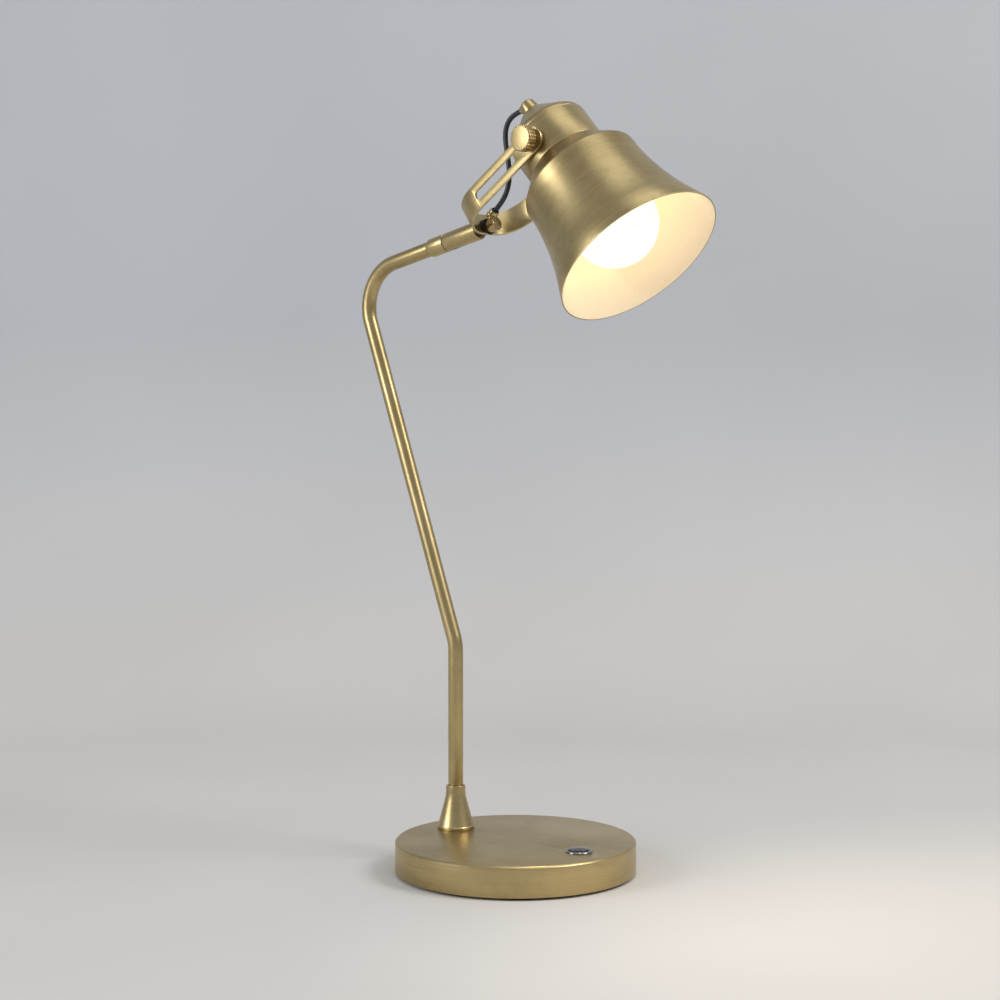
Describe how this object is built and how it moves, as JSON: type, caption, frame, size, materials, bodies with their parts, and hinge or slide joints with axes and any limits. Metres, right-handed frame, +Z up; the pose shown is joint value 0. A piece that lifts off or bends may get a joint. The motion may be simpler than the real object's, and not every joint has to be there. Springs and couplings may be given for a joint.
{
  "type": "desk lamp",
  "caption": "Desk lamp with a round weighted base, a bent stem, a slotted yoke and a flared bell shade that tilts and swivels.",
  "frame": {"origin": "centre of the face that the lamp stands on", "axes": "+Z up, +X forward, the way the head reaches, +Y to the lamp's left"},
  "size_m": [0.3054, 0.17, 0.5401],
  "materials": {
    "brass": "brushed",
    "brass_bright": "satin",
    "shade_brass": "brushed outside, cream lacquer inside",
    "iron": "rough",
    "steel": "satin",
    "chrome": "polished",
    "rubber": "matte",
    "black_plastic": "gloss",
    "holder_plastic": "matte",
    "fibre": "matte",
    "bulb_glass": "opal",
    "cap_metal": "satin"
  },
  "bodies": {
    "stand": {"base_pad": "rubber", "base_plate": "steel", "plate_screws": "steel", "base_weight": "iron", "base_cover": "brass", "terminal_block": "holder_plastic", "mains_bush": "rubber", "stem_foot": "brass", "stem_tube": "brass", "stem_washer": "steel", "stem_nut": "steel", "switch_bezel": "chrome", "switch_housing": "black_plastic", "switch_nut": "steel", "swivel_coupling": "brass"},
    "button": {"switch_button": "black_plastic"},
    "yoke_arm": {"swivel_washer": "fibre", "swivel_barrel": "brass", "stop_screw": "steel", "outer_wedge": "fibre", "inner_wedge": "fibre", "yoke_nipple": "brass_bright", "yoke": "brass", "lead_outlet": "brass_bright", "lead_bush": "rubber", "head_lead": "rubber"},
    "shade": {"shade_bell": "shade_brass", "neck_housing": "brass", "neck_cap": "brass", "lead_gland": "brass_bright", "gland_nut": "steel", "pivot_nuts": "steel", "arm_washers": "fibre", "lampholder": "holder_plastic", "holder_ring": "holder_plastic", "lampholder_shell": "brass_bright", "lampholder_contact": "brass_bright", "bulb_glass": "bulb_glass", "bulb_cap": "cap_metal", "bulb_contact": "steel"},
    "near_clamp": {"near_knob": "brass", "near_stud": "steel"},
    "far_clamp": {"far_knob": "brass", "far_stud": "steel"}
  },
  "joints": [
    {"name": "head_swivel", "type": "hinge", "parent": "stand", "child": "yoke_arm", "pos_m": [-0.06599, 0, 0.44587], "axis": [0.9763, 0, 0.2164], "range_deg": [-85, 85]},
    {"name": "shade_tilt", "type": "hinge", "parent": "yoke_arm", "child": "shade", "pos_m": [0.04156, 0, 0.5069], "axis": [0, 1, 0], "range_deg": [-70, 8], "deforming": ["head_lead"]},
    {"name": "near_clamp_turn", "type": "hinge", "parent": "shade", "child": "near_clamp", "pos_m": [0.04156, 0, 0.5069], "axis": [0, -1, 0], "range_deg": [0, 180]},
    {"name": "far_clamp_turn", "type": "hinge", "parent": "shade", "child": "far_clamp", "pos_m": [0.04156, 0, 0.5069], "axis": [0, 1, 0], "range_deg": [0, 180]},
    {"name": "button_press", "type": "slide", "parent": "stand", "child": "button", "axis": [0, 0, -1], "range_m": [0, 0.0018], "stiffness_N_per_m": 300, "springref_m": -0.001}
  ]
}
